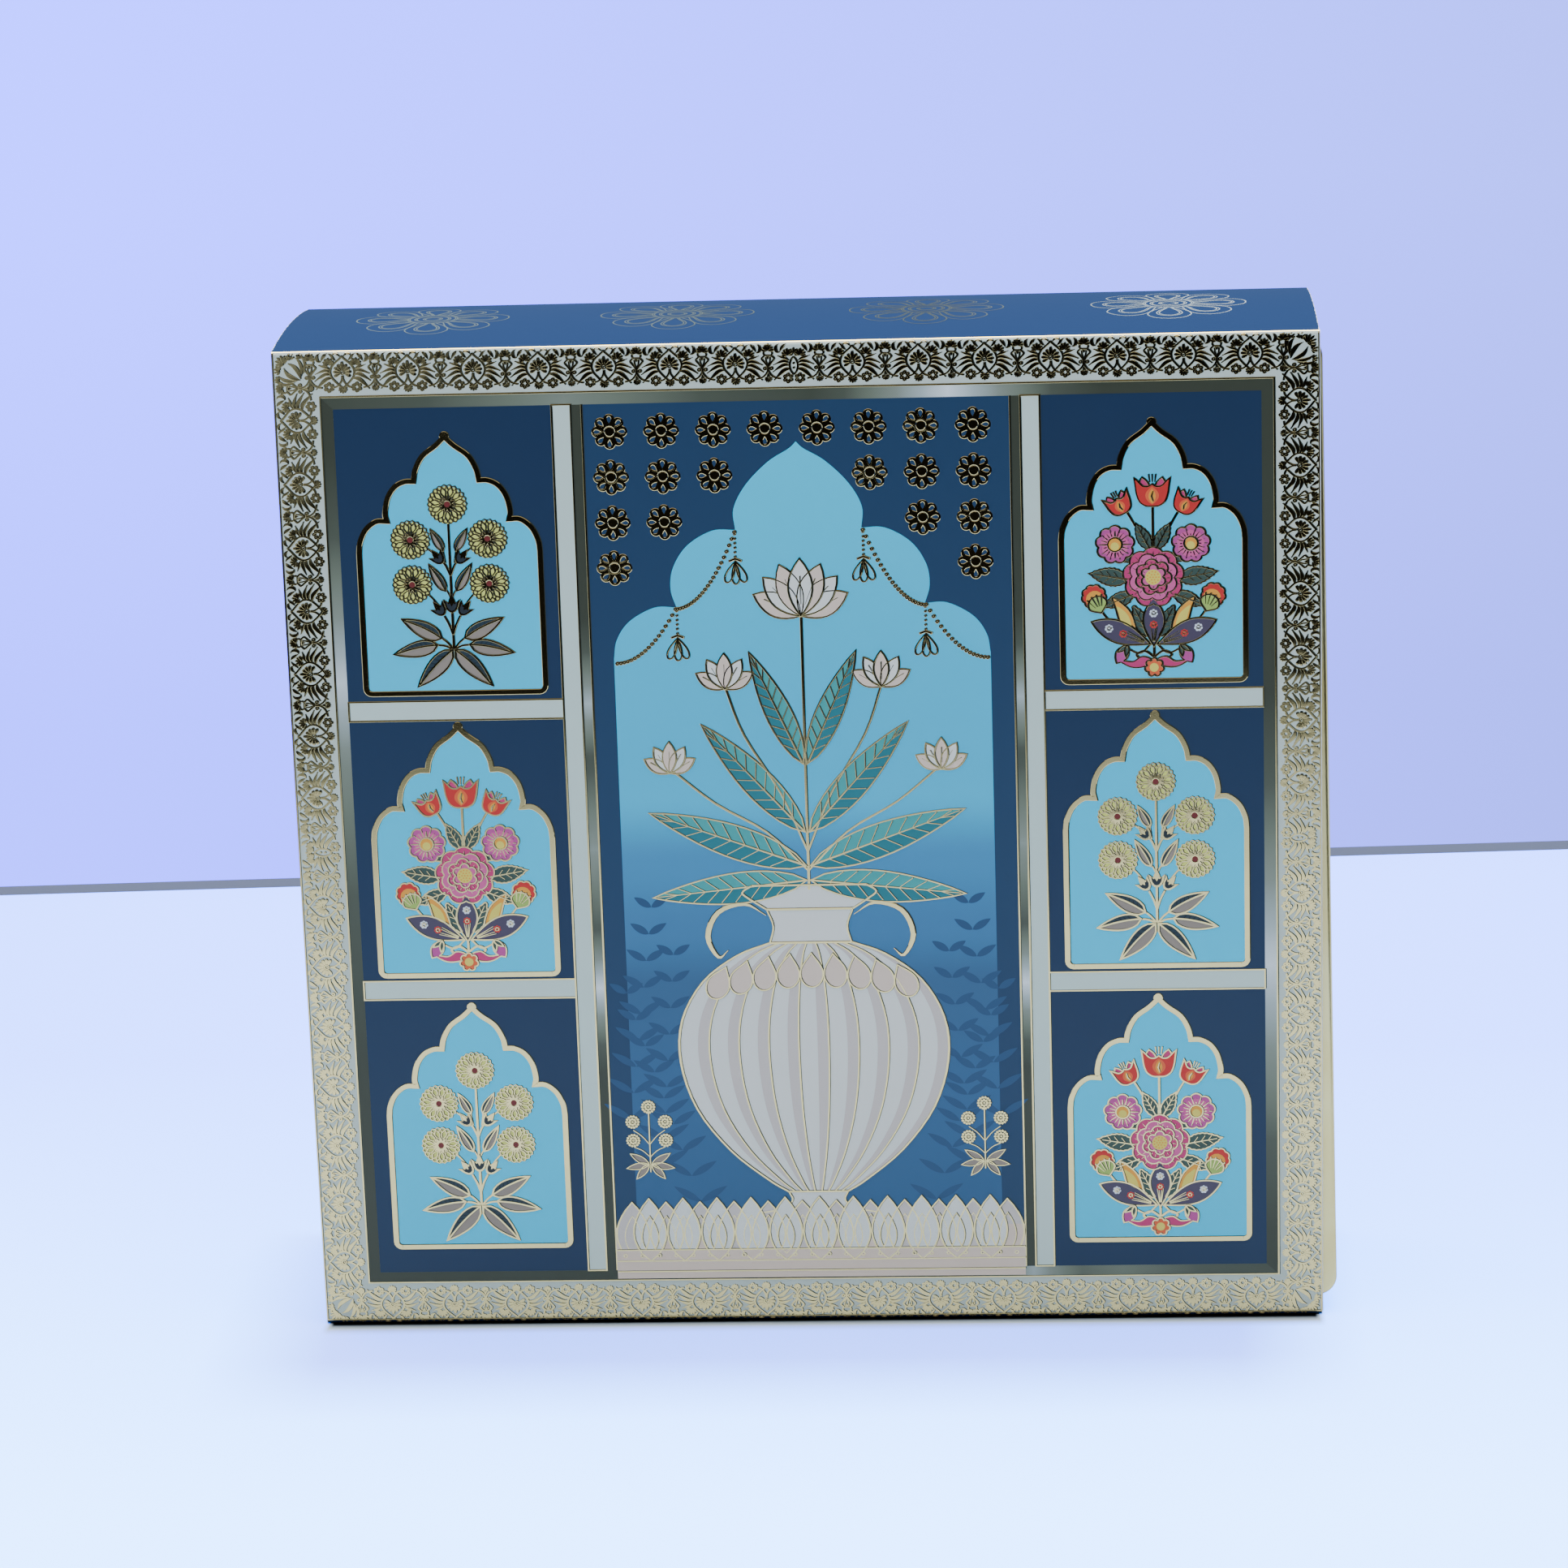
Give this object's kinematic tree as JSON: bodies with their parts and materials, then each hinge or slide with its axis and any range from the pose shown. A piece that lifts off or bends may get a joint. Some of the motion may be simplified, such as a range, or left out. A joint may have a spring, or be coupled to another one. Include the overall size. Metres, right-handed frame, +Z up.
{
  "type": "mithai sweet box",
  "caption": "Square gift box for sweets: a printed, foil stamped board sleeve, open at both ends, around a sliding gold tray parted into cells.",
  "frame": {"origin": "on the surface that the standing box rests on, under the middle of its overall box", "axes": "+Z up as the box stands, +X to the right along the sleeve's open axis, +Y from the decorated front panel to the back"},
  "size_m": [0.2071, 0.0522, 0.2039],
  "materials": {
    "printed_board": "gloss laminated print with stamped gold foil",
    "gold_film": "satin metallised gold",
    "greaseproof_board": "matte, greaseproof",
    "divider_board": "satin gold board"
  },
  "bodies": {
    "sleeve": {"sleeve": "printed_board"},
    "tray": {"level_divider_1": "divider_board", "level_divider_2": "divider_board", "level_divider_3": "divider_board", "tray": "gold_film", "tray_pad": "greaseproof_board", "upright_divider_1": "divider_board", "upright_divider_2": "divider_board", "upright_divider_3": "divider_board"}
  },
  "joints": [
    {"name": "tray_slide", "type": "slide", "parent": "sleeve", "child": "tray", "axis": [1, 0, 0], "range_m": [-0.17, 0.17]}
  ]
}
